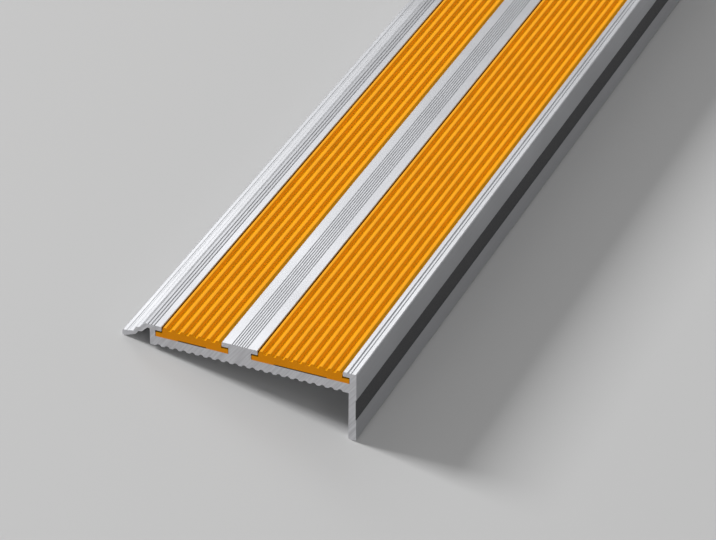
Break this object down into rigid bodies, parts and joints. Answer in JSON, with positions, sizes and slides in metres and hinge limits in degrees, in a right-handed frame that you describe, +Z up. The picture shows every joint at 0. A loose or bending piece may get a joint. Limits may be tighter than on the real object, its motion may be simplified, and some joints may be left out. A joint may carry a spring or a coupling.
{
  "type": "stair nosing",
  "caption": "Aluminium stair nosing profile with ribbed slip-resistant inserts, a riser leg with a dark contrast strip and a stepped tail lip over the floor covering.",
  "frame": {"origin": "centre of the bounding box on the floor the nosing rests on, tail tip and toe edge at Z = 0", "axes": "+Y along the length, +X across the tread towards the riser leg, +Z up from the floor"},
  "size_m": [0.0802, 1, 0.0238],
  "materials": {
    "aluminium_profile": "satin",
    "insert": "satin",
    "riser_strip": "matte"
  },
  "bodies": {
    "root": {"aluminium_profile": "aluminium_profile", "front_insert": "insert", "rear_insert": "insert", "riser_strip": "riser_strip"}
  },
  "joints": []
}
